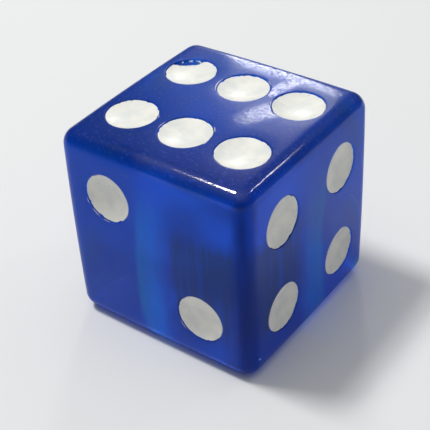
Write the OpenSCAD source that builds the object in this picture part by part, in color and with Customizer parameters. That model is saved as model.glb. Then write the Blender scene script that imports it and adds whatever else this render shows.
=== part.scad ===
// Casino die: one moulded cube with rounded edges, and one enamel fill in each of its 21 pips.
//
// +Z is up, through the face with six pips. The face with two pips looks along -Y and the face
// with four pips along +X, and opposite faces add up to seven. The origin is on the resting
// face, under the middle of the die.

/* [Body] */
// Length of one edge of the cube, face to face
edge = 19.05; // [19:0.05:22]
// Radius of the rounding along the edges and at the corners
edge_radius = 1.4; // [0.6:0.1:1.5]

/* [Pips] */
// Diameter of one pip at the face
pip_d = 4.6; // [4:0.1:4.8]
// Depth of the straight wall round a pip's hollow
wall_depth = 0.22; // [0.15:0.01:0.4]
// How much deeper the middle of a hollow is than the foot of its wall
floor_dish = 0.5; // [0.3:0.05:0.8]
// How far the rim of the enamel lies below the face
rim_drop = 0.06; // [0.02:0.01:0.1]
// Thickness of the enamel at the middle of a pip
enamel_thickness = 0.28; // [0.1:0.02:0.3]

/* [Pip layout] */
// Distance from a face's middle to its corner pips, along each edge, as a share of the edge
corner_share = 0.235; // [0.2:0.005:0.26]
// Distance between neighbours in a row of the six, as a share of the edge
pitch_share = 0.294; // [0.28:0.002:0.3]
// Distance from the middle of the six to each of its rows, as a share of the edge
row_share = 0.217; // [0.2:0.001:0.24]

/* [Hidden] */
$fn = 96;
// How far a cutting shape reaches past the surface that it cuts
clearance = 1;
half = edge / 2;
core = half - edge_radius;
pip_r = pip_d / 2;
hollow_depth = wall_depth + floor_dish;
enamel_dish = hollow_depth - rim_drop - enamel_thickness;

// Places of the pips on a face, with the face seen from outside and its own X to the right
corner = corner_share * edge;
pitch = pitch_share * edge;
row = row_share * edge;
middle = [[0, 0]];
falling = [[-corner, corner], [corner, -corner]];
rising = [[-corner, -corner], [corner, corner]];
two_rows = [for (y = [row, -row]) for (x = [-pitch, 0, pitch]) [x, y]];

// Each face is the turn that carries it into place from the top of the die, and its pips
one = [[180, 0, 0], middle];
two = [[90, 0, 0], falling];
three = [[90, 0, -90], concat(falling, middle)];
four = [[90, 0, 90], concat(falling, rising)];
five = [[90, 0, 180], concat(falling, rising, middle)];
six = [[0, 0, 0], two_rows];
faces = [one, two, three, four, five, six];

// Radius of the sphere whose cap is as wide as a pip and as deep as the given depth
function cap_radius(depth) = (pip_r * pip_r + depth * depth) / (2 * depth);

// What the rounding takes off the upright edge at +X +Y
module edge_waste() {
    translate([core, core, -edge])
        difference() {
            cube([edge_radius + clearance, edge_radius + clearance, 2 * edge]);
            translate([0, 0, -clearance]) cylinder(h = 2 * (edge + clearance), r = edge_radius);
        }
}

// What the rounding takes off the corner at +X +Y +Z
module corner_waste() {
    translate([core, core, core])
        difference() {
            cube(edge_radius + clearance);
            sphere(r = edge_radius);
        }
}

// Cube about the origin, with its edges and corners rounded by the same radius
module rounded_cube() {
    difference() {
        cube(edge, center = true);
        for (turn = [[0, 0, 0], [90, 0, 0], [0, 90, 0]]) for (quarter = [0:90:270])
            rotate(turn) rotate([0, 0, quarter]) edge_waste();
        for (flip = [0, 180]) for (quarter = [0:90:270])
            rotate([flip, 0, quarter]) corner_waste();
    }
}

// Carries a shape from the die's centre to a pip of a face, with +Z out of that face
module at_pip(face, place) {
    rotate(face[0]) translate([place[0], place[1], half]) children();
}

// The hollow of one pip, up to a height over the face: a short straight wall and a dished floor
module pip_hollow(top) {
    floor_radius = cap_radius(floor_dish);
    intersection() {
        translate([0, 0, -hollow_depth]) cylinder(h = hollow_depth + top, r = pip_r);
        translate([0, 0, floor_radius - hollow_depth]) sphere(r = floor_radius);
    }
}

// The enamel of one pip: it fills the hollow to just under the face, and its surface is dished
module pip_enamel() {
    surface_radius = cap_radius(enamel_dish);
    difference() {
        pip_hollow(-rim_drop);
        translate([0, 0, surface_radius - enamel_dish - rim_drop]) sphere(r = surface_radius);
    }
}

// The moulded body with its 21 hollows, standing on the face with one pip
module die_body() {
    color("royalblue")
        translate([0, 0, half])
        difference() {
            rounded_cube();
            for (face = faces) for (place = face[1]) at_pip(face, place) pip_hollow(clearance);
        }
}

// The enamel in one of a face's pips
module pip(face, number) {
    color("white") translate([0, 0, half]) at_pip(face, face[1][number - 1]) pip_enamel();
}

die_body();
pip(one, 1);  // one_pip
pip(two, 1);  // two_pip_1
pip(two, 2);  // two_pip_2
pip(three, 1);  // three_pip_1
pip(three, 2);  // three_pip_2
pip(three, 3);  // three_pip_3
pip(four, 1);  // four_pip_1
pip(four, 2);  // four_pip_2
pip(four, 3);  // four_pip_3
pip(four, 4);  // four_pip_4
pip(five, 1);  // five_pip_1
pip(five, 2);  // five_pip_2
pip(five, 3);  // five_pip_3
pip(five, 4);  // five_pip_4
pip(five, 5);  // five_pip_5
pip(six, 1);  // six_pip_1
pip(six, 2);  // six_pip_2
pip(six, 3);  // six_pip_3
pip(six, 4);  // six_pip_4
pip(six, 5);  // six_pip_5
pip(six, 6);  // six_pip_6
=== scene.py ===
import math

import bmesh
import bpy
import numpy as np
from mathutils import Matrix, Vector, geometry, noise


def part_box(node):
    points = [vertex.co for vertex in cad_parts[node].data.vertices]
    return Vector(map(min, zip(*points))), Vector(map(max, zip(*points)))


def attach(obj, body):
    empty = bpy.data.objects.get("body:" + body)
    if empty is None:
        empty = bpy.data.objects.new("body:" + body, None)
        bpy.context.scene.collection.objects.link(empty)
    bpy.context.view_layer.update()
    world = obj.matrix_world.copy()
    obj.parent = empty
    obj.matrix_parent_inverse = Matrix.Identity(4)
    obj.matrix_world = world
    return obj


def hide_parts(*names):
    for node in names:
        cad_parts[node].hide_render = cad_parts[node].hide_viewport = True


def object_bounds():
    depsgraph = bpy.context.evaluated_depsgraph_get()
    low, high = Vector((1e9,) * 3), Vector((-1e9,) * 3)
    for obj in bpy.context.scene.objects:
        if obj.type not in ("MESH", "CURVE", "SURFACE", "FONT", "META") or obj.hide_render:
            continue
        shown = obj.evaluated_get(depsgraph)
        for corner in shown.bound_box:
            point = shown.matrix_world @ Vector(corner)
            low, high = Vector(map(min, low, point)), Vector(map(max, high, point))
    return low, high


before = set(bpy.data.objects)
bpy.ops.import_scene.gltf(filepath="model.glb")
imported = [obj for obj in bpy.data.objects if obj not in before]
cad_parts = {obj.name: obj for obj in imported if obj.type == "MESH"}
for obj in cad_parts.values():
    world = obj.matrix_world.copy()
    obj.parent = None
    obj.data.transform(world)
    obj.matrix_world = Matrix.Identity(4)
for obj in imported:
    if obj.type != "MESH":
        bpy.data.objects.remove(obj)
cad_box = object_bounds()

# ---------------------------------------------------------------- the frame's own sizes
MM = 0.001
LOW, HIGH = (np.array(corner) for corner in cad_box)
CENTRE = (LOW + HIGH) / 2
HALF = float(HIGH[2] - LOW[2]) / 2
EDGE = 2 * HALF

# Each face's own X, its own Y and its outward normal, with the face seen from outside
FACES = {
    "one": ((1, 0, 0), (0, -1, 0), (0, 0, -1)),
    "two": ((1, 0, 0), (0, 0, 1), (0, -1, 0)),
    "three": ((0, -1, 0), (0, 0, 1), (-1, 0, 0)),
    "four": ((0, 1, 0), (0, 0, 1), (1, 0, 0)),
    "five": ((-1, 0, 0), (0, 0, 1), (0, 1, 0)),
    "six": ((1, 0, 0), (0, 1, 0), (0, 0, 1)),
}

# ---------------------------------------------------------------- the moulding
EDGE_RADIUS = 1.4 * MM
CORE = HALF - EDGE_RADIUS  # from the middle of a face's flat to its border
WALL_DEPTH = 0.22 * MM  # from a face down to the border of a hollow's dished floor
RIM_RADIUS = 0.05 * MM  # the worn lip of a pip's hollow

CROWN = 0.016  # how far a face has fallen away at its corners, as a share of half the edge
WAVE_HEIGHT = 0.012 * MM  # the slow unevenness of a polished face
WAVE_LENGTH = 3.4 * MM
MOAT_DEPTH = 0.02 * MM  # how far a face sinks round each pip
MOAT_WIDTH = 0.55 * MM  # how far out from the pip that reaches
MOAT_BELOW = 1.2 * MM  # how far below the face the body sinks with it

EDGE_STEPS = 56  # along an edge
ROUND_STEPS = 12  # round an edge
PIP_STEPS = 96  # round a pip
LIP_RINGS = 4  # over the worn lip of a hollow
WALL_RING = 0.6  # where a hollow's wall has a ring, as a share of its depth
DISH_SHARES = np.linspace(1, 0.12, 9)  # the rings of a hollow's floor, as shares of its radius
FILL_PITCH = 0.42 * MM  # between the points that fill a face
FILL_MARGIN = 0.4 * FILL_PITCH  # those points stay this far inside the flat
RING_MARGIN = 0.2 * FILL_PITCH  # and the rings of points round a pip stay this far inside
# The rings round a pip: how far outside its wall, and 1 for every point or 2 for every second one
FACE_RINGS = [(RIM_RADIUS, 1), (0.17 * MM, 1), (0.36 * MM, 2)]
PIP_CLEARANCE = FACE_RINGS[-1][0] + 0.3 * FILL_PITCH  # from a pip's wall to the filling points
HOLE_MARGIN = 1.1 * RIM_RADIUS  # a triangle with no corner further outside a wall is over a hole
WELD = 0.002 * MM  # points closer than this are one
MERGE = 1e-6  # the same in a flat triangulation, which counts in millimetres
SLIVER = 1e-4 * MM * MM  # a triangle smaller than this is three points on a line
BODY_CREASE = 50  # in degrees: a sharper fold than this isn't shaded smooth
NOISE_SHIFT = (17.3, 5.1, 9.7)  # how far apart the noises of two seeds are taken

# ---------------------------------------------------------------- the enamel
ENAMEL_THICKNESS = 0.28 * MM
BONDED = 0.03 * MM  # the enamel's underside lies this far into the body, so no air is between
FOOT_BONDED = 0.3 * BONDED  # the same at its border
SHRUNK = 0.045 * MM  # the enamel's edge stands this far off the wall
RAGGED = 0.18 * MM  # how much further its edge may fall short of the wall
RAGGED_FROM = 0.15  # the height of the noise above which it does
RAGGED_LENGTH = 0.35 * MM
MENISCUS = 0.05 * MM  # how far the surface rises at its edge, at the most
MENISCUS_WIDTH = 0.12 * MM
MENISCUS_MEAN, MENISCUS_SWING = 0.3, 0.7
MENISCUS_LENGTH = 0.5 * MM
LUMPS = 0.012 * MM
LUMP_LENGTH = 0.9 * MM
MENISCUS_SEED, RAGGED_SEED, LUMP_SEED, CHIP_SEED = 1.0, 2.0, 3.0, 4.0
LIP_WIDTH = 0.01 * MM  # the surface turns down over this width
LIP_DROP = 0.02 * MM
SURFACE_SHARES = (*np.linspace(0.1, 0.9, 9), 0.94, 0.97, 0.99)
UNDERSIDE_SHARES = np.linspace(0.94, 0.1, 9)
ENAMEL_CREASE = 40  # in degrees

# One pip has lost the enamel beyond a nearly straight break. The bearings are in degrees round
# the pip, and all but the first are counted from the first.
CHIPPED = "six_pip_1"
CHIP_TURN = math.radians(38)  # the bearing that the break runs along
CHIP_LINE = 0.72  # how far the break is from the pip's middle, as a share of the radius
CHIP_START, CHIP_RISE = 56, 9  # where the break sets in, and over how much
CHIP_LEAST = 1  # bearings are held this far off the break's own, which never meets it
CHIP_RAGGED = 0.025  # how uneven the break is, as a share of the radius
CHIP_LENGTH = 0.13 * MM
# Flecks left beyond the break: bearing, share of the radius, and size in mm
CHIP_FLECKS = [
    (66, 0.93, 0.10),
    (70, 0.97, 0.13),
    (76, 0.99, 0.07),
    (88, 0.98, 0.13),
    (93, 0.99, 0.08),
    (109, 0.98, 0.11),
    (130, 0.97, 0.07),
]
FLECK_RINGS = [(0.7, 0.75), (1.0, 0.2), (0.8, -0.5)]  # radius and height, in sizes of the fleck
FLECK_STEPS = 7

# Where enamel ran over a rim: from and to, in degrees round the pip, and how wide in mm
SMEARS = {
    "six_pip_2": [(172, 226, 0.13), (40, 66, 0.07)],
    "six_pip_3": [(186, 222, 0.07)],
    "six_pip_5": [(168, 200, 0.08), (28, 52, 0.09), (340, 356, 0.08)],
    "six_pip_4": [(8, 26, 0.06)],
    "two_pip_1": [(196, 214, 0.1), (220, 246, 0.12), (252, 272, 0.07)],
    "two_pip_2": [(206, 232, 0.08)],
    "four_pip_2": [(70, 96, 0.07)],
    "four_pip_4": [(84, 112, 0.06)],
}
SMEAR_RISE = 0.025 * MM
SMEAR_STEP = 4  # degrees between two sections of a smear
SMEAR_FEWEST = 4  # steps in the shortest smear
SMEAR_UNEVEN, SMEAR_BEAT = 0.25, 2.7  # how much a smear's width varies, and how fast


def axes_of(face):
    return [np.array(axis, float) for axis in FACES[face]]


def to_world(face, local):
    """Points given as face X, face Y and height over the face, in the row frame."""
    u, v, n = axes_of(face)
    local = np.atleast_2d(local)
    return CENTRE + local[:, :1] * u + local[:, 1:2] * v + (local[:, 2:3] + HALF) * n


def pips_of(face):
    """The pips of a face, as the CAD has them: name, middle on the face, radius, depth and rim."""
    u, v, n = axes_of(face)
    found = []
    for name in sorted(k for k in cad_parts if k.startswith(face + "_pip")):
        low, high = (np.array(corner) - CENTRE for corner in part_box(name))
        middle = (low + high) / 2
        reach = sorted((low @ n, high @ n))
        found.append(
            {
                "name": name,
                "face": face,
                "at": np.array((middle @ u, middle @ v)),
                "radius": max(high - low) / 2,
                "depth": HALF - reach[0],
                "rim": HALF - reach[1],
            }
        )
    return found


PIPS = {face: pips_of(face) for face in FACES}


def value_noise(points, length, seed=0.0):
    """Smooth noise from -1 to 1 over points in space, with the given wavelength."""
    shift = Vector([seed * step for step in NOISE_SHIFT])
    return np.array([noise.noise(Vector(p) / length + shift) for p in points])


def moulded(points):
    """The die's true form: crowned, a little uneven and sunk round its pips, inside the CAD box."""
    offset = points - CENTRE
    p = offset / HALF
    square = p * p
    p = p * (1 - CROWN * (square.sum(1, keepdims=True) - square) / 2)
    sink = WAVE_HEIGHT * (0.5 + 0.5 * value_noise(points, WAVE_LENGTH))
    outward = p / np.linalg.norm(p, axis=1, keepdims=True)
    out = CENTRE + p * HALF - outward * sink[:, None]
    for face, pips in PIPS.items():
        u, v, n = axes_of(face)
        near = offset @ n > HALF - MOAT_BELOW
        for pip in pips:
            far = np.hypot(offset @ u - pip["at"][0], offset @ v - pip["at"][1]) - pip["radius"]
            moat = MOAT_DEPTH * np.exp(-((np.maximum(far, 0) / MOAT_WIDTH) ** 2))
            out -= np.where(near, moat, 0)[:, None] * n
    return out


def link(name, data):
    obj = bpy.data.objects.new(name, data)
    bpy.context.scene.collection.objects.link(obj)
    return obj


class Skin:
    """Vertices and faces of one piece, welded where its patches meet."""

    def __init__(self):
        self.points = []
        self.faces = []

    def add(self, points):
        first = len(self.points)
        self.points.extend(points)
        return list(range(first, len(self.points)))

    def rings(self, rings):
        """Quads between closed rings of the same length."""
        for outer, inner in zip(rings, rings[1:]):
            for i in range(len(outer)):
                j = (i + 1) % len(outer)
                self.faces.append((outer[i], outer[j], inner[j], inner[i]))

    def fan(self, ring, middle):
        for i in range(len(ring)):
            self.faces.append((ring[i], ring[(i + 1) % len(ring)], middle))

    def piece(self, name, crease):
        """The moulded, welded piece, with its faces outward and smooth but for its creases."""
        points = moulded(np.array(self.points))
        data = bpy.data.meshes.new(name)
        data.from_pydata(points.tolist(), [], self.faces)
        shell = bmesh.new()
        shell.from_mesh(data)
        bmesh.ops.remove_doubles(shell, verts=shell.verts, dist=WELD)
        bmesh.ops.recalc_face_normals(shell, faces=shell.faces)
        shell.to_mesh(data)
        shell.free()
        data.shade_smooth()
        data.set_sharp_from_angle(angle=math.radians(crease))
        return link(name, data)


# ---------------------------------------------------------------- the body's mesh
def circle(at, radius, height, steps=PIP_STEPS):
    turn = np.linspace(0, 2 * math.pi, steps, endpoint=False)
    radius = np.broadcast_to(radius, turn.shape)
    height = np.broadcast_to(height, turn.shape)
    return np.stack([at[0] + radius * np.cos(turn), at[1] + radius * np.sin(turn), height], 1)


def dish(radius, depth, reach):
    """How deep a spherical dish is at a distance from its middle, counted from its rim."""
    ball = (radius * radius + depth * depth) / (2 * depth)
    return np.sqrt(ball * ball - np.minimum(reach, radius) ** 2) - (ball - depth)


def hollow_floor(pip, reach):
    """How far a hollow's floor is below the face, at a distance from the pip's middle."""
    return WALL_DEPTH + dish(pip["radius"], pip["depth"] - WALL_DEPTH, reach)


def hollow_rings(pip):
    """Radius and height of the rings of a pip's hollow, from the face down to its middle."""
    r = pip["radius"]
    rings = []
    for turn in np.linspace(0, math.pi / 2, LIP_RINGS):
        rings.append((r + RIM_RADIUS * (1 - math.sin(turn)), -RIM_RADIUS * (1 - math.cos(turn))))
    rings.append((r, -WALL_RING * WALL_DEPTH))
    for share in DISH_SHARES:
        rings.append((r * share, -hollow_floor(pip, r * share)))
    return rings


def face_fill(face, border):
    """A face's border, the rings round its pips, and points that fill the rest of its flat."""
    rings = []
    for pip in PIPS[face]:
        for outside, every in FACE_RINGS:
            ring = circle(pip["at"], pip["radius"] + outside, 0)[::every]
            inside = np.abs(ring[:, :2]).max(1) < CORE - RING_MARGIN
            rings.append(ring[inside])
    rows = int(2 * CORE / (FILL_PITCH * math.sqrt(3) / 2))
    fill = []
    for j in range(1, rows):
        y = -CORE + 2 * CORE * j / rows
        for i in range(int(2 * CORE / FILL_PITCH) + 1):
            x = -CORE + (i + 0.5 * (j % 2)) * FILL_PITCH
            clear = all(
                math.hypot(x - pip["at"][0], y - pip["at"][1]) > pip["radius"] + PIP_CLEARANCE
                for pip in PIPS[face]
            )
            if abs(x) < CORE - FILL_MARGIN and clear:
                fill.append((x, y, 0.0))
    return np.concatenate([border, *rings, np.array(fill)])


def border_of_flat():
    """Points along the four sides of a face's flat, matching those of the rounded edges."""
    along = np.linspace(-CORE, CORE, EDGE_STEPS + 1)[:-1]
    side = np.stack([along, np.full_like(along, -CORE), np.zeros_like(along)], 1)
    turns = [(1, 0, 0, 1), (0, -1, 1, 0), (-1, 0, 0, -1), (0, 1, -1, 0)]
    return np.concatenate(
        [np.stack([side @ (a, b, 0), side @ (c, d, 0), side[:, 2]], 1) for a, b, c, d in turns]
    )


def add_face(skin, face):
    """A face's flat with a hole at each pip, and the hollows behind the holes."""
    flat = [Vector(p[:2]) / MM for p in face_fill(face, border_of_flat())]
    verts, _, tris, *_ = geometry.delaunay_2d_cdt(flat, [], [], 0, MERGE)
    local = np.array([(v.x * MM, v.y * MM, 0.0) for v in verts])
    ids = skin.add(to_world(face, local))
    for tri in tris:
        corners = local[list(tri)][:, :2]
        over_hole = any(
            np.hypot(*(corners - pip["at"]).T).max() < pip["radius"] + HOLE_MARGIN
            for pip in PIPS[face]
        )
        (ax, ay), (bx, by) = corners[1] - corners[0], corners[2] - corners[0]
        if not over_hole and abs(ax * by - ay * bx) > SLIVER:
            skin.faces.append([ids[i] for i in tri])
    for pip in PIPS[face]:
        rings = [
            skin.add(to_world(face, circle(pip["at"], r, z))) for r, z in hollow_rings(pip)
        ]
        skin.rings(rings)
        bottom = skin.add(to_world(face, [(*pip["at"], -pip["depth"])]))[0]
        skin.fan(rings[-1], bottom)


def add_edge(skin, t, a, b):
    """One rounded edge along the axis t, on the side of the body that a and b point to."""
    turn = np.linspace(0, math.pi / 2, ROUND_STEPS + 1)
    out_a = np.outer(CORE + EDGE_RADIUS * np.cos(turn), a)
    out_b = np.outer(CORE + EDGE_RADIUS * np.sin(turn), b)
    rows = [
        skin.add(CENTRE + s * t + out_a + out_b) for s in np.linspace(-CORE, CORE, EDGE_STEPS + 1)
    ]
    for r0, r1 in zip(rows, rows[1:]):
        for k in range(ROUND_STEPS):
            quad = (r0[k], r0[k + 1], r1[k + 1], r1[k])
            skin.faces.append(quad)


def add_corner(skin, signs):
    """One rounded corner, an eighth of a sphere in rows that widen from its pole."""
    rows = []
    for i in range(ROUND_STEPS + 1):
        polar = math.pi / 2 * i / ROUND_STEPS
        azimuth = np.linspace(0, math.pi / 2, i + 1) if i else np.zeros(1)
        x = np.sin(polar) * np.cos(azimuth)
        y = np.sin(polar) * np.sin(azimuth)
        z = np.full(i + 1, np.cos(polar))
        rows.append(skin.add(CENTRE + signs * (CORE + EDGE_RADIUS * np.stack([x, y, z], 1))))
    for upper, lower in zip(rows, rows[1:]):
        for k in range(len(upper)):
            tri = (upper[k], lower[k], lower[k + 1])
            skin.faces.append(tri)
        for k in range(len(upper) - 1):
            tri = (upper[k], lower[k + 1], upper[k + 1])
            skin.faces.append(tri)


def make_body():
    skin = Skin()
    for face in FACES:
        add_face(skin, face)
    for axis in range(3):
        t, a, b = np.roll(np.eye(3), axis, axis=0)
        for sa in (-1, 1):
            for sb in (-1, 1):
                add_edge(skin, t, sa * a, sb * b)
    for sx in (-1, 1):
        for sy in (-1, 1):
            for sz in (-1, 1):
                add_corner(skin, np.array((sx, sy, sz)))
    return skin.piece("die_body_moulding", BODY_CREASE)


# ---------------------------------------------------------------- the enamels' meshes
def chipped(pip, turn):
    """How far the enamel reaches in each direction, as a share of the pip's radius."""
    if pip["name"] != CHIPPED:
        return np.ones_like(turn)
    bearing = np.degrees(turn - CHIP_TURN) % 360
    broken = CHIP_LINE / np.sin(np.radians(np.clip(bearing, CHIP_LEAST, 180 - CHIP_LEAST)))
    fade = np.clip((bearing - CHIP_START) / CHIP_RISE, 0, 1)
    limit = np.where(bearing < 180, 1 + fade * (np.minimum(broken, 1) - 1), 1)
    around = np.stack([np.cos(turn), np.sin(turn), np.zeros_like(turn)], 1)
    ragged = CHIP_RAGGED * value_noise(around * MM, CHIP_LENGTH, CHIP_SEED)
    return np.where(limit < 1, np.minimum(limit + ragged, 1), 1)


def add_smear(skin, pip, start, end, width):
    """Enamel that ran over a pip's rim: a thin crescent on the face, closed all round."""
    count = max(int((end - start) / SMEAR_STEP), SMEAR_FEWEST)
    turns = np.radians(np.linspace(start, end, count + 1))
    middle = pip["radius"] + RIM_RADIUS + 0.5 * width
    rows = []
    for k, turn in enumerate(turns[1:-1]):
        uneven = 1 - SMEAR_UNEVEN + SMEAR_UNEVEN * math.sin(SMEAR_BEAT * k)
        swell = math.sin(math.pi * (k + 1) / count) * uneven
        section = (
            (middle - 0.5 * width * swell, 0),
            (middle, SMEAR_RISE * swell),
            (middle + 0.5 * width * swell, 0),
            (middle, -SMEAR_RISE),
        )
        out = np.array((math.cos(turn), math.sin(turn)))
        spots = [(*(pip["at"] + r * out), h) for r, h in section]
        rows.append(skin.add(to_world(pip["face"], spots)))
    skin.rings(rows)
    tips = []
    for turn in (turns[0], turns[-1]):
        x, y = pip["at"] + middle * np.array((math.cos(turn), math.sin(turn)))
        tips.append(skin.add(to_world(pip["face"], [(x, y, 0)]))[0])
    skin.fan(rows[0][::-1], tips[0])
    skin.fan(rows[-1], tips[1])


def add_fleck(skin, pip, bearing, share, size):
    """A fleck of enamel left in a bare part of a pip's hollow."""
    reach = share * pip["radius"]
    x, y = pip["at"] + reach * np.array((math.cos(bearing), math.sin(bearing)))
    low = -hollow_floor(pip, reach)
    rows = []
    for radius, rise in FLECK_RINGS:
        ring = circle((x, y), radius * size, low + rise * size, FLECK_STEPS)
        rows.append(skin.add(to_world(pip["face"], ring)))
    skin.rings(rows)
    top, bottom = skin.add(to_world(pip["face"], [(x, y, low + size), (x, y, low - size)]))
    skin.fan(rows[0][::-1], top)
    skin.fan(rows[-1], bottom)


def enamel_rings(pip):
    """The rings of one enamel, from the middle of its surface over its edge to its underside."""
    r, rim = pip["radius"], pip["rim"]
    turn = np.linspace(0, 2 * math.pi, PIP_STEPS, endpoint=False)
    wall = to_world(pip["face"], circle(pip["at"], r, 0))
    swing = value_noise(wall, MENISCUS_LENGTH, MENISCUS_SEED)
    creep = MENISCUS * (MENISCUS_MEAN + MENISCUS_SWING * swing)
    short = value_noise(wall, RAGGED_LENGTH, RAGGED_SEED)
    lack = RAGGED * np.clip(short - RAGGED_FROM, 0, 1)
    edge = r * chipped(pip, turn) - SHRUNK - lack
    surface_dish = pip["depth"] - rim - ENAMEL_THICKNESS
    rings = []
    for share in SURFACE_SHARES:
        rise = creep * math.exp(-(1 - share) * r / MENISCUS_WIDTH)
        reach = (edge - LIP_WIDTH) * share
        places = to_world(pip["face"], circle(pip["at"], reach, 0))
        swell = LUMPS * value_noise(places, LUMP_LENGTH, LUMP_SEED)
        height = rise - rim - dish(r, surface_dish, reach) + swell
        rings.append(circle(pip["at"], reach, height))
    lip = creep - rim - dish(r, surface_dish, edge)
    rings.append(circle(pip["at"], edge, lip - LIP_DROP))
    rings.append(circle(pip["at"], edge, -hollow_floor(pip, edge) - FOOT_BONDED))
    for share in UNDERSIDE_SHARES:
        reach = edge * share
        rings.append(circle(pip["at"], reach, -hollow_floor(pip, reach) - BONDED))
    return rings, -rim - surface_dish


def make_enamel(pip):
    """The enamel of one pip: dished, lumpy and ragged at its edge, and closed all round."""
    skin = Skin()
    rings, low_point = enamel_rings(pip)
    ids = [skin.add(to_world(pip["face"], ring)) for ring in rings]
    skin.rings([ring[::-1] for ring in ids])
    top = skin.add(to_world(pip["face"], [(*pip["at"], low_point)]))[0]
    bottom = skin.add(to_world(pip["face"], [(*pip["at"], -pip["depth"] - BONDED)]))[0]
    skin.fan(ids[0], top)
    skin.fan(ids[-1][::-1], bottom)
    for start, end, width in SMEARS.get(pip["name"], ()):
        add_smear(skin, pip, start, end, width * MM)
    if pip["name"] == CHIPPED:
        for bearing, share, size in CHIP_FLECKS:
            add_fleck(skin, pip, CHIP_TURN + math.radians(bearing), share, size * MM)
    return skin.piece(pip["name"] + "_enamel", ENAMEL_CREASE)


# ---------------------------------------------------------------- nodes
SEED_SHIFT = (1, 2.3, -1.7)  # how far apart the noise textures of two seeds are taken
STROKE_CORE = 0.3  # the full-strength part of a stroke, as a share of its width


def opaque(colour):
    """A colour with its alpha; a socket stays as it is."""
    return (*colour, 1) if isinstance(colour, tuple) else colour


class Graph:
    """The nodes of a material or of the world, with short ways to add the kinds used here."""

    def __init__(self, owner):
        owner.use_nodes = True
        self.nodes = owner.node_tree.nodes
        self.links = owner.node_tree.links

    def add(self, kind, **settings):
        """A new node with its plain settings."""
        node = self.nodes.new(kind)
        for key, value in settings.items():
            setattr(node, key, value)
        return node

    def feed(self, socket, value):
        """Link a socket to an output, or give it a plain value."""
        if isinstance(value, bpy.types.NodeSocket):
            self.links.new(value, socket)
        else:
            socket.default_value = value

    def split(self, vector):
        """The X, Y and Z of a vector."""
        node = self.add("ShaderNodeSeparateXYZ")
        self.feed(node.inputs[0], vector)
        return node.outputs

    def maths(self, operation, *terms, clamp=False):
        node = self.add("ShaderNodeMath", operation=operation, use_clamp=clamp)
        for socket, term in zip(node.inputs, terms):
            self.feed(socket, term)
        return node.outputs[0]

    def scaled(self, value, by, plus):
        return self.maths("MULTIPLY_ADD", value, by, plus)

    def vector_maths(self, operation, result, *terms):
        node = self.add("ShaderNodeVectorMath", operation=operation)
        for socket, term in zip(node.inputs, terms):
            self.feed(socket, term)
        return node.outputs[result]

    def ramp(self, place, stops, interpolation="EASE"):
        """A colour ramp over a value, with stops that are each a place and a grey or a colour."""
        node = self.add("ShaderNodeValToRGB")
        self.feed(node.inputs["Fac"], place)
        node.color_ramp.interpolation = interpolation
        elements = node.color_ramp.elements
        elements[0].position = stops[0][0]
        elements[1].position = stops[-1][0]
        for spot, _ in stops[1:-1]:
            elements.new(spot)
        for element, (_, colour) in zip(elements, stops):
            grey = isinstance(colour, (int, float))
            element.color = opaque((colour, colour, colour) if grey else colour)
        return node.outputs["Color"]

    def noise(self, where, scale, seed, detail=3.0, stretch=(1, 1, 1)):
        """Noise over places in millimetres, finer for a larger scale."""
        shift = self.add("ShaderNodeMapping")
        self.feed(shift.inputs["Scale"], tuple(k / MM for k in stretch))
        self.feed(shift.inputs["Location"], tuple(k * seed for k in SEED_SHIFT))
        self.feed(shift.inputs["Vector"], where)
        texture = self.add("ShaderNodeTexNoise")
        self.feed(texture.inputs["Scale"], scale)
        self.feed(texture.inputs["Detail"], detail)
        self.feed(texture.inputs["Vector"], shift.outputs["Vector"])
        return texture.outputs["Fac"]

    def blend(self, share, first, second):
        """A colour between two colours or sockets."""
        node = self.add("ShaderNodeMix", data_type="RGBA")
        self.feed(node.inputs[0], share)
        self.feed(node.inputs[6], opaque(first))
        self.feed(node.inputs[7], opaque(second))
        return node.outputs[2]

    def bump(self, height, strength, distance):
        node = self.add("ShaderNodeBump")
        self.feed(node.inputs["Strength"], strength)
        self.feed(node.inputs["Distance"], distance)
        self.feed(node.inputs["Height"], height)
        return node.outputs["Normal"]

    def stroke(self, where, start, end, width):
        """1 along a short line on the body and 0 away from it; the ends are in half edges."""
        first, last = (Vector(CENTRE) + Vector(spot) * HALF for spot in (start, end))
        along = last - first
        out = self.vector_maths("SUBTRACT", "Vector", where, first)
        share = self.vector_maths("DOT_PRODUCT", "Value", out, along / along.length_squared)
        foot = self.add("ShaderNodeVectorMath", operation="SCALE")
        self.feed(foot.inputs[0], along)
        self.feed(foot.inputs["Scale"], self.maths("ADD", share, 0, clamp=True))
        near = self.add("ShaderNodeMapRange", interpolation_type="SMOOTHSTEP")
        gap = self.vector_maths("DISTANCE", "Value", out, foot.outputs["Vector"])
        self.feed(near.inputs["Value"], gap)
        self.feed(near.inputs["From Min"], STROKE_CORE * width * MM)
        self.feed(near.inputs["From Max"], width * MM)
        self.feed(near.inputs["To Min"], 1)
        self.feed(near.inputs["To Max"], 0)
        return near.outputs["Result"]

    def strokes(self, where, lines):
        """1 along any of several lines on the body and 0 away from them."""
        total = 0.0
        for start, end, width in lines:
            total = self.maths("MAXIMUM", self.stroke(where, start, end, width), total)
        return total


def new_material(name):
    """A material, its graph and its main shader."""
    mat = bpy.data.materials.new(name)
    graph = Graph(mat)
    return mat, graph, graph.nodes["Principled BSDF"]


# ---------------------------------------------------------------- the resin
RESIN_DEEP = (0.006, 0.13, 0.86)
RESIN_CLEAR = (0.008, 0.20, 0.96)
# painted light: the bright blue of the upright bands and of two glowing patches
RESIN_PAINTED_LIGHT = (0.006, 0.44, 1.0)
# painted shade: the dark murky part by the front upright edge
RESIN_PAINTED_SHADE = (0.014, 0.068, 0.19)
# painted shade: the dark line along the front upright edge, and a dark patch low on the right face
# by it
RESIN_EDGE_SHADE = (0.003, 0.03, 0.20)
# painted shade: the top face's darker rim
RESIN_RIM_SHADE = (0.003, 0.045, 0.28)
SCRATCH = (0.10, 0.33, 0.95)
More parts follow.
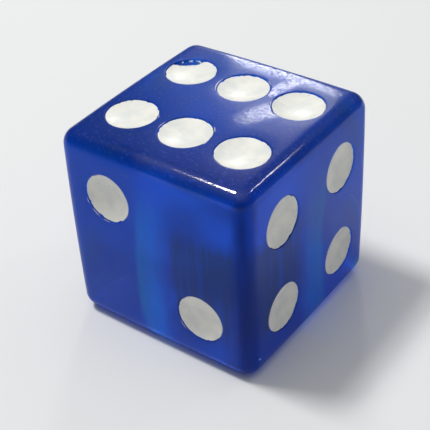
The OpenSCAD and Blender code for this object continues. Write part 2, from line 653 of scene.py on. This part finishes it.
# painted light: lighter blue over the bare part of the chipped pip's hollow
BARE_HOLLOW_LIGHT = (0.06, 0.28, 0.98)
# nicks, whose near-white spots are painted glints
NICK_GLINT = (0.8, 0.9, 1.0)
RESIN_IOR = 1.49
DEPTH_TINT = (0.08, 0.72, 0.93)
DEPTH_DENSITY = 100  # per metre

# How strong a feature is by how far round it is from the front upright edge, in edges; the features
# are painted shade by and along that edge, and bright bands of painted light
SHADE_SIDE = [(0.0, 0.9), (0.1, 1.0), (0.36, 0.85), (0.44, 0.35), (0.5, 0.0)]
LIGHT_BAND_SIDE = [(0.42, 0.0), (0.52, 0.75), (0.56, 1.0), (0.605, 0.0)]
UPRIGHT_SHADE_SIDE = [(0.0, 0.9), (0.05, 0.65), (0.12, 0.0)]
# How strong it is by its height, in edges
SHADE_RISE = [(0.1, 0.3), (0.3, 1.0), (0.65, 1.0), (0.79, 0.0)]
LIGHT_BAND_RISE = [(0.0, 0.7), (0.25, 1.0), (0.6, 0.7), (0.9, 0.0)]
TOP_RISE = [(0.93, 0.0), (0.99, 0.75)]
# The top face is painted with shade: clearest round one point and darker away from it, by the
# distance in edges
TOP_UNSHADED = (0, 0.16 * EDGE, EDGE)
TOP_RIM_SHADE = [(0.15, 0.0), (0.68, 1.0)]
# What a noise is turned into
DUST_GRAINS = [(0.56, 0.0), (0.72, 0.7)]
COAT_SCUFFS = [(0.35, 0.02), (0.65, 0.07)]
WORN_SPECKLE = [(0.40, 0.1), (0.56, 1.0)]

# Lines on the body: from and to in half edges from its middle, and how far out in mm they fade
WORN = [
    ((-0.35, 0.88, 1.0), (0.90, 0.86, 1.0), 1.8),
    ((0.32, 0.02, 0.99), (0.52, 0.44, 0.99), 1.5),
    ((0.27, 0.50, 0.99), (0.36, 0.80, 0.99), 1.0),
]
POLISHED = [
    ((-0.05, -0.95, 0.97), (0.92, -0.95, 0.97), 1.4),
    ((0.96, -0.92, 0.96), (0.96, 0.92, 0.96), 1.2),
]
# Nicks, scratches and patches, which are such lines too, each with its strength and colour; the
# nicks' spots are painted glints, and the dark and bright patches are painted shade and painted
# light
MARKS = [
    # painted shade low on the right face by the front edge
    ((0.98, -0.98, -0.80), (0.98, -0.40, -0.90), 3.6, 0.55, RESIN_EDGE_SHADE),
    # nicks on the edges and corners, each a painted glint
    ((-0.96, -0.90, 0.97), (-0.93, -0.93, 0.97), 0.16, 0.9, NICK_GLINT),
    ((0.965, -0.955, 0.90), (0.97, -0.95, 0.88), 0.15, 0.9, NICK_GLINT),
    ((0.97, 0.88, 0.96), (0.96, 0.90, 0.97), 0.16, 0.8, NICK_GLINT),
    ((0.99, -0.86, -0.78), (0.99, -0.84, -0.79), 0.12, 0.9, NICK_GLINT),
    ((-0.80, -1.0, -0.74), (-0.30, -1.0, -0.30), 0.12, 0.25, SCRATCH),
    ((-0.24, -1.0, 0.80), (-0.18, -1.0, 0.79), 0.1, 0.6, SCRATCH),
    ((1.0, 0.66, 0.06), (1.0, 0.78, -0.10), 0.1, 0.5, SCRATCH),
    ((1.0, 0.78, -0.10), (1.0, 0.84, -0.30), 0.1, 0.5, SCRATCH),
    # painted light: a glow at the right face's back bottom corner and along the front face's bottom
    # edge
    ((0.98, 0.80, -0.86), (0.98, 0.92, -0.84), 1.1, 0.8, RESIN_PAINTED_LIGHT),
    ((0.20, -0.98, -0.98), (0.70, -0.98, -0.98), 0.6, 0.35, RESIN_PAINTED_LIGHT),
    # painted light over the bare part of the chipped pip's hollow
    ((-0.77, 0.55, 0.96), (-0.66, 0.64, 0.96), 0.75, 0.6, BARE_HOLLOW_LIGHT),
]


def resin_colour(graph, where):
    """Cloudy blue, with painted shade by the front upright edge, bright bands of painted light and
    a top rim darkened with painted shade.
    """
    # the way round from the front upright edge to either side, and the height, both in edges
    x, y, z = graph.split(where)
    wobble = graph.noise(where, scale=0.3, seed=3, stretch=(1, 1, 0.4))
    wobble = graph.scaled(wobble, by=0.16, plus=0.92)
    around = graph.scaled(graph.maths("SUBTRACT", y, x), by=1 / EDGE, plus=wobble)
    height = graph.maths("MULTIPLY", z, 1 / EDGE)

    # clouds, and over them the bright upright bands, painted light standing in for the bright
    # rounded back edges seen through the resin
    clouds = graph.noise(where, scale=0.35, seed=5)
    colour = graph.blend(clouds, RESIN_DEEP, RESIN_CLEAR)
    light_band = graph.maths("MULTIPLY", graph.ramp(around, LIGHT_BAND_SIDE), graph.ramp(height, LIGHT_BAND_RISE))
    colour = graph.blend(light_band, colour, RESIN_PAINTED_LIGHT)

    # painted shade by the front upright edge, streaked upright, with its upper border a little
    # lower away from the edge
    lift = graph.scaled(around, by=0.08, plus=height)
    painted_shade = graph.maths("MULTIPLY", graph.ramp(around, SHADE_SIDE), graph.ramp(lift, SHADE_RISE))
    shade_streaks = graph.noise(where, scale=2.0, seed=1, detail=2.0, stretch=(1, 1, 0.05))
    shade_streaks = graph.scaled(shade_streaks, by=1.3, plus=0.36)
    painted_shade = graph.maths("MULTIPLY", painted_shade, shade_streaks, clamp=True)
    colour = graph.blend(painted_shade, colour, RESIN_PAINTED_SHADE)

    # the top face, painted with shade that darkens towards its rim, and lightly dusty
    on_top = graph.ramp(height, TOP_RISE)
    outward = graph.vector_maths("DISTANCE", "Value", where, TOP_UNSHADED)
    outer = graph.ramp(graph.maths("DIVIDE", outward, EDGE), TOP_RIM_SHADE)
    colour = graph.blend(graph.maths("MULTIPLY", outer, on_top), colour, RESIN_RIM_SHADE)
    grains = graph.ramp(graph.noise(where, scale=4.0, seed=19), DUST_GRAINS)
    colour = graph.blend(graph.maths("MULTIPLY", grains, on_top), colour, SCRATCH)

    # painted shade along the front upright edge
    colour = graph.blend(graph.ramp(around, UPRIGHT_SHADE_SIDE), colour, RESIN_EDGE_SHADE)
    for start, end, width, strength, tint in MARKS:
        share = graph.maths("MULTIPLY", graph.stroke(where, start, end, width), strength)
        colour = graph.blend(share, colour, tint)
    return colour


def resin_gloss(graph, where):
    """The coat's weight: thin all over, and full where the top is worn or its edges polished."""
    speckle = graph.ramp(graph.noise(where, scale=5.5, seed=17, detail=2.0), WORN_SPECKLE)
    worn = graph.maths("MULTIPLY", graph.strokes(where, WORN), speckle)
    shiny = graph.maths("MAXIMUM", worn, graph.strokes(where, POLISHED))
    return graph.scaled(shiny, by=0.85, plus=0.12)


def resin_material():
    """Blue see-through resin: hazy inside, with a scuffed gloss over it."""
    mat, graph, shader = new_material("blue_resin")
    where = graph.add("ShaderNodeTexCoord").outputs["Object"]
    graph.feed(shader.inputs["Base Color"], resin_colour(graph, where))
    haze = graph.noise(where, scale=0.6, seed=9)
    graph.feed(shader.inputs["Roughness"], graph.scaled(haze, by=0.1, plus=0.33))
    shader.inputs["IOR"].default_value = RESIN_IOR
    shader.inputs["Transmission Weight"].default_value = 0.8
    shader.inputs["Specular IOR Level"].default_value = 0.0
    shader.inputs["Specular Tint"].default_value = (0, 0, 0, 1)

    scuffs = graph.noise(where, scale=3.6, seed=7, detail=4.0)
    graph.feed(shader.inputs["Coat Weight"], resin_gloss(graph, where))
    graph.feed(shader.inputs["Coat Roughness"], graph.ramp(scuffs, COAT_SCUFFS))
    peel = graph.bump(scuffs, strength=0.6, distance=0.014 * MM)
    graph.feed(shader.inputs["Coat Normal"], peel)
    shader.inputs["Coat IOR"].default_value = RESIN_IOR

    depth = graph.add("ShaderNodeVolumeAbsorption")
    depth.inputs["Color"].default_value = opaque(DEPTH_TINT)
    depth.inputs["Density"].default_value = DEPTH_DENSITY
    graph.feed(graph.nodes["Material Output"].inputs["Volume"], depth.outputs["Volume"])
    return mat


# ---------------------------------------------------------------- the enamel and the floor
ENAMEL_IVORY = (0.88, 0.87, 0.80)
ENAMEL_GREY = (0.76, 0.77, 0.74)
ENAMEL_SPECK = (0.10, 0.13, 0.25)
ENAMEL_PATCHES = [(0.3, 0.0), (0.68, 1.0)]
ENAMEL_SPECKS = [(0.24, 1.0), (0.29, 0.0)]
FLOOR_GREY = (0.80, 0.80, 0.80)


def enamel_material():
    """Ivory enamel, a little mottled, greyer in patches, with specks and an uneven gloss."""
    mat, graph, shader = new_material("white_enamel")
    where = graph.add("ShaderNodeTexCoord").outputs["Object"]
    patches = graph.ramp(graph.noise(where, scale=0.7, seed=11), ENAMEL_PATCHES)
    colour = graph.blend(patches, ENAMEL_GREY, ENAMEL_IVORY)
    grain = graph.noise(where, scale=6.0, seed=13)
    colour = graph.blend(graph.ramp(grain, ENAMEL_SPECKS), colour, ENAMEL_SPECK)
    graph.feed(shader.inputs["Base Color"], colour)
    gloss = graph.noise(where, scale=1.6, seed=15)
    graph.feed(shader.inputs["Roughness"], graph.scaled(gloss, by=0.2, plus=0.3))
    dimples = graph.bump(grain, strength=0.5, distance=0.03 * MM)
    graph.feed(shader.inputs["Normal"], dimples)
    shader.inputs["Specular IOR Level"].default_value = 0.35
    shader.inputs["Coat Weight"].default_value = 0.15
    shader.inputs["Coat Roughness"].default_value = 0.2
    return mat


def floor_material():
    mat, _, shader = new_material("pale_floor")
    shader.inputs["Base Color"].default_value = opaque(FLOOR_GREY)
    shader.inputs["Roughness"].default_value = 0.8
    shader.inputs["Specular IOR Level"].default_value = 0.1
    return mat


# ---------------------------------------------------------------- camera, light and floor
AZIMUTH, ELEVATION, ROLL = 37.9, 36.7, -3.45
LENS, SENSOR = 90.502, 36  # in millimetres, as a camera counts them
DISTANCE = 5.012 * EDGE
AIM = (-0.018, -0.024, -0.067)  # from the die's middle to the picture's, in edges
NEAREST = 1 * MM

FLOOR_REACH = 40 * EDGE
# How bright the world is by the sine of the height over the horizon; the first is all below it
WORLD_STOPS = [(0.0, 0.55), (0.001, 0.06), (0.45, 0.08), (0.7, 0.3), (1.0, 1.0)]
WORLD_TINT = (0.97, 0.99, 1.0)


def direction(azimuth, elevation):
    """The way from the die to a viewer, in degrees; at azimuth 0 the viewer looks along +Y."""
    az, el = math.radians(azimuth), math.radians(elevation)
    return Vector((math.sin(az) * math.cos(el), -math.cos(az) * math.cos(el), math.sin(el)))


def make_camera():
    az, roll = math.radians(AZIMUTH), math.radians(ROLL)
    back = direction(AZIMUTH, ELEVATION)
    right = Vector((math.cos(az), math.sin(az), 0))
    up = back.cross(right)
    turned_right = math.cos(roll) * right + math.sin(roll) * up
    turned_up = -math.sin(roll) * right + math.cos(roll) * up
    data = bpy.data.cameras.new("camera")
    data.lens = LENS
    data.sensor_width = SENSOR
    data.clip_start = NEAREST
    camera = link("camera", data)
    camera.matrix_world = Matrix((turned_right, turned_up, back)).transposed().to_4x4()
    camera.location = Vector(CENTRE) + Vector(AIM) * EDGE + back * DISTANCE
    bpy.context.scene.camera = camera


def softbox(name, azimuth, elevation, distance, size, power, colour=(1, 1, 1)):
    """An area light that looks at the die from a direction counted like the camera's."""
    away = direction(azimuth, elevation)
    data = bpy.data.lights.new(name, "AREA")
    data.shape = "RECTANGLE"
    data.size, data.size_y = size
    data.energy = power
    data.color = colour
    light = link(name, data)
    light.location = Vector(CENTRE) + away * distance
    light.rotation_euler = away.to_track_quat("Z", "Y").to_euler()


def make_lights():
    softbox(
        "key",
        azimuth=-76,
        elevation=66.8,
        distance=0.5,
        size=(0.095, 0.095),
        power=1.30,
        colour=(1, 1, 0.98),
    )
    softbox("window", azimuth=211.7, elevation=25.5, distance=0.5, size=(0.06, 0.15), power=0.28)
    softbox(
        "back_fill",
        azimuth=150,
        elevation=42,
        distance=0.5,
        size=(0.05, 0.022),
        power=0.09,
        colour=(0.85, 0.88, 1),
    )
    softbox("key_core", azimuth=-80, elevation=66.0, distance=0.49, size=(0.06, 0.024), power=0.2)


def make_world():
    """A dim room over a pale ground: dark near the horizon, brighter towards the zenith."""
    world = bpy.data.worlds.new("studio")
    graph = Graph(world)
    height = graph.split(graph.add("ShaderNodeTexCoord").outputs["Generated"])["Z"]
    stops = [(place, tuple(bright * k for k in WORLD_TINT)) for place, bright in WORLD_STOPS]
    backdrop = graph.nodes["Background"]
    graph.feed(backdrop.inputs["Color"], graph.ramp(height, stops, "LINEAR"))
    backdrop.inputs["Strength"].default_value = 1.0
    bpy.context.scene.world = world


def make_floor():
    data = bpy.data.meshes.new("floor")
    corners = [(-1, -1), (1, -1), (1, 1), (-1, 1)]
    spots = [(x * FLOOR_REACH, y * FLOOR_REACH, float(LOW[2])) for x, y in corners]
    data.from_pydata(spots, [], [(0, 1, 2, 3)])
    floor = link("floor", data)
    floor.data.materials.append(floor_material())


# ---------------------------------------------------------------- the scene
make_camera()
make_floor()
make_world()
make_lights()
bpy.context.scene.view_settings.view_transform = "Standard"

resin = resin_material()
enamel = enamel_material()

body = make_body()
body.data.materials.append(resin)
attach(body, "root")
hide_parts("die_body")

for face in FACES:
    for pip in PIPS[face]:
        piece = make_enamel(pip)
        piece.data.materials.append(enamel)
        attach(piece, "root")
        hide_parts(pip["name"])

bpy.context.view_layer.update()
